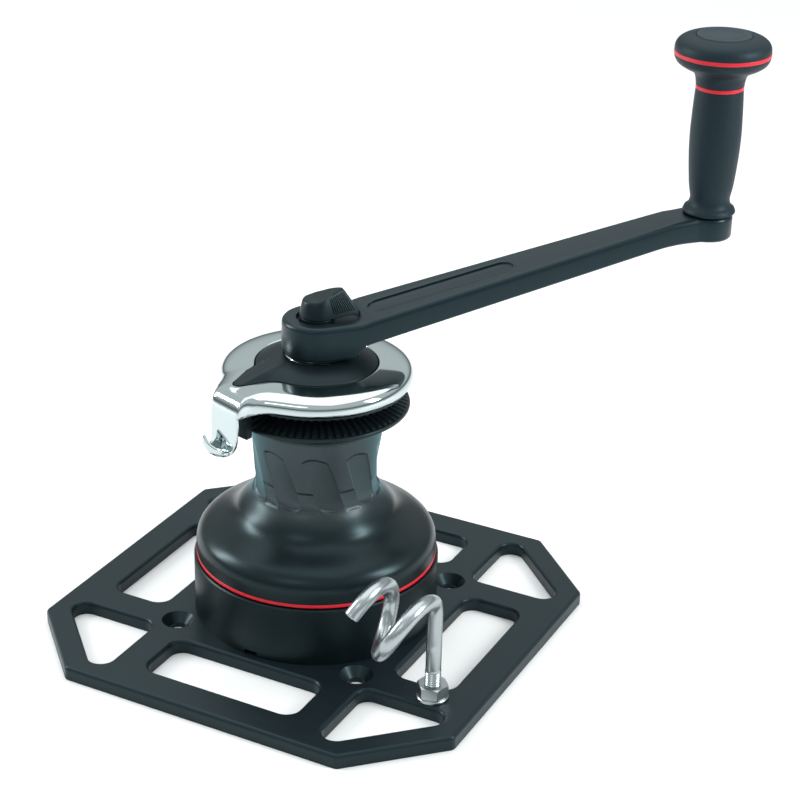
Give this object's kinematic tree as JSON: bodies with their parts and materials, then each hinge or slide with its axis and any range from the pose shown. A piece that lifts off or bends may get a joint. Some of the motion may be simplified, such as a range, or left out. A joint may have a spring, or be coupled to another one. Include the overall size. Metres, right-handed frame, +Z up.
{
  "type": "sailboat winch",
  "caption": "Self-tailing sheet winch on a bolted open plate: drum with waisted bell, rope jaws, stripper arm, pigtail guide and a lift-out crank handle with palm knob.",
  "frame": {"origin": "on the winch axis at the underside of the mounting plate", "axes": "+Z up along the winch axis; X and Y along the plate's sides, with the pigtail guide at +X -Y"},
  "size_m": [0.3599, 0.3512, 0.37],
  "materials": {
    "plate_alloy": "dark satin anodised",
    "base_black": "matte black anodised",
    "drum_alloy": "dark anodised with a blasted neck",
    "bright_chrome": "polished",
    "red_trim": "bright red satin",
    "black_plastic": "black, fine grain",
    "arm_alloy": "dark blue-grey satin anodised",
    "jaw_black": "black moulded",
    "grip_rubber": "soft-touch dark blue-grey",
    "cap_plastic": "satin dark blue-grey",
    "polished_steel": "polished stainless",
    "steel": "machined",
    "bronze": "machined bronze"
  },
  "bodies": {
    "base": {"mounting_plate": "plate_alloy", "pigtail_guide": "polished_steel", "pigtail_nut": "polished_steel", "pigtail_washer": "polished_steel", "base_screws": "steel", "base_housing": "base_black", "center_stem": "steel", "stem_screws": "steel", "idler_spindle": "steel", "pinion_spindle": "steel", "lower_shaft_bush": "bronze", "upper_shaft_bush": "bronze", "lower_drum_bearing": "steel", "upper_drum_bearing": "steel", "bearing_spacer": "black_plastic", "drum_thrust_washer": "black_plastic", "drum_retaining_ring": "steel", "arm_support": "black_plastic", "support_retaining_ring": "steel", "arm_screws": "steel", "stripper_arm": "bright_chrome", "top_cover": "black_plastic", "peeler": "black_plastic"},
    "main_shaft": {"main_shaft": "steel", "shaft_gear": "bronze", "socket_collar": "bright_chrome", "first_gear_washer": "steel"},
    "first_speed_gear": {"first_speed_gear": "bronze"},
    "idler": {"idler_gear": "bronze", "idler_bush": "black_plastic"},
    "pinion": {"pinion": "bronze", "pinion_bush": "black_plastic"},
    "second_speed_gear": {"second_speed_gear": "bronze"},
    "drum": {"drum": "drum_alloy", "drum_ring_gear": "steel", "drum_trim_ring": "red_trim", "upper_jaw": "jaw_black", "jaw_screws": "steel", "jaw_springs": "steel", "jaw_stop_ring": "steel"},
    "lower_jaw": {"lower_jaw": "jaw_black"},
    "handle": {"handle_arm": "arm_alloy", "handle_stud": "steel", "grip_spindle": "steel", "grip_bearings": "steel", "spindle_nut": "steel", "lock_spring": "steel"},
    "lock": {"lock_knob": "black_plastic", "lock_shaft": "steel"},
    "grip": {"grip_sleeve": "grip_rubber", "neck_ring": "red_trim", "palm_knob_lower": "grip_rubber", "knob_ring": "red_trim", "palm_knob_upper": "grip_rubber", "knob_cap": "cap_plastic"},
    "first_speed_pawl_1": {"first_speed_pawl_1": "steel"},
    "first_speed_pawl_2": {"first_speed_pawl_2": "steel"},
    "second_speed_pawl_1": {"second_speed_pawl_1": "steel"},
    "second_speed_pawl_2": {"second_speed_pawl_2": "steel"}
  },
  "joints": [
    {"name": "crank_turn", "type": "hinge", "parent": "base", "child": "main_shaft", "pos_m": [0, 0, 0], "axis": [0, 0, 1], "continuous": true},
    {"name": "first_gear_turn", "type": "hinge", "parent": "base", "child": "first_speed_gear", "pos_m": [0, 0, 0], "axis": [0, 0, 1], "continuous": true},
    {"name": "idler_turn", "type": "hinge", "parent": "base", "child": "idler", "pos_m": [-0.02276, -0.0332, 0], "axis": [0, 0, 1], "continuous": true},
    {"name": "pinion_turn", "type": "hinge", "parent": "base", "child": "pinion", "pos_m": [-0.04193, -0.01526, 0], "axis": [0, 0, 1], "continuous": true},
    {"name": "second_gear_turn", "type": "hinge", "parent": "base", "child": "second_speed_gear", "pos_m": [-0.04193, -0.01526, 0], "axis": [0, 0, 1], "continuous": true},
    {"name": "drum_turn", "type": "hinge", "parent": "base", "child": "drum", "pos_m": [0, 0, 0], "axis": [0, 0, 1], "continuous": true},
    {"name": "jaw_float", "type": "slide", "parent": "drum", "child": "lower_jaw", "axis": [0, 0, -1], "range_m": [0, 0.0015], "stiffness_N_per_m": 2000, "springref_m": -0.005, "deforming": ["jaw_springs"]},
    {"name": "handle_lift", "type": "slide", "parent": "main_shaft", "child": "handle", "axis": [0, 0, 1], "range_m": [0, 0.052]},
    {"name": "lock_turn", "type": "hinge", "parent": "handle", "child": "lock", "pos_m": [0, 0, 0.2], "axis": [0, 0, 1], "range_deg": [0, 22.5]},
    {"name": "grip_turn", "type": "hinge", "parent": "handle", "child": "grip", "pos_m": [0.18394, 0.17516, 0], "axis": [0, 0, 1], "continuous": true},
    {"name": "first_pawl_1_swing", "type": "hinge", "parent": "main_shaft", "child": "first_speed_pawl_1", "pos_m": [0.01115, 0.01004, 0.0602], "axis": [0, 0, 1], "range_deg": [-12, 0], "stiffness_Nm_per_rad": 0.004, "springref_deg": 5.73},
    {"name": "first_pawl_2_swing", "type": "hinge", "parent": "main_shaft", "child": "first_speed_pawl_2", "pos_m": [-0.01115, -0.01004, 0.0602], "axis": [0, 0, 1], "range_deg": [-12, 0], "stiffness_Nm_per_rad": 0.004, "springref_deg": 5.73},
    {"name": "second_pawl_1_swing", "type": "hinge", "parent": "pinion", "child": "second_speed_pawl_1", "pos_m": [-0.03445, -0.00804, 0.0377], "axis": [0, 0, 1], "range_deg": [-8, 0], "stiffness_Nm_per_rad": 0.004, "springref_deg": 5.73},
    {"name": "second_pawl_2_swing", "type": "hinge", "parent": "pinion", "child": "second_speed_pawl_2", "pos_m": [-0.04942, -0.02249, 0.0377], "axis": [0, 0, 1], "range_deg": [-8, 0], "stiffness_Nm_per_rad": 0.004, "springref_deg": 5.73}
  ],
  "couplings": [
    {"joint": "first_gear_turn", "follows": "crank_turn", "ratio": 1},
    {"joint": "idler_turn", "follows": "crank_turn", "ratio": -2.0667},
    {"joint": "pinion_turn", "follows": "crank_turn", "ratio": 2.0667},
    {"joint": "drum_turn", "follows": "crank_turn", "ratio": 0.4697},
    {"joint": "second_gear_turn", "follows": "crank_turn", "ratio": -0.7}
  ]
}
